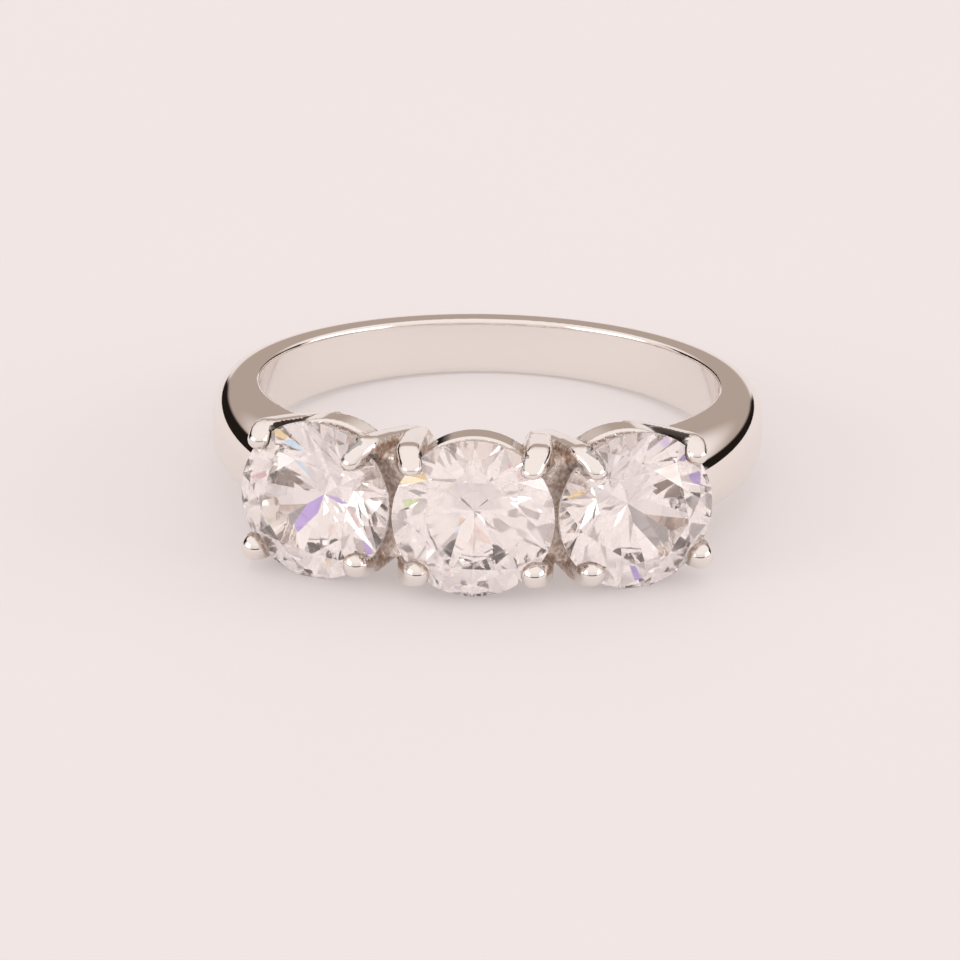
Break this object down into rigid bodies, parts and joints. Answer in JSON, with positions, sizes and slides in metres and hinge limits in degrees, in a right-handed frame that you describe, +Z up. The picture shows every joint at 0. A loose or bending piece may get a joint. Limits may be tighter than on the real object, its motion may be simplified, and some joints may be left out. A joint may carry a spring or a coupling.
{
  "type": "three stone ring",
  "caption": "Cast metal finger ring with round brilliants side by side in one shared prong head, lying on its side.",
  "frame": {"origin": "middle of the ring's footprint, on the floor under it", "axes": "+Z up as the ring rests on its side, -Y towards the stones, +X to the right of a viewer who faces the stones"},
  "size_m": [0.0208, 0.0239, 0.0061],
  "materials": {
    "polished_silver": "polished white metal, darker cast texture in the recesses",
    "stone": "clear colourless faceted stone with strong fire"
  },
  "bodies": {
    "root": {"ring_mount": "polished_silver", "left_stone": "stone", "centre_stone": "stone", "right_stone": "stone"}
  },
  "joints": []
}
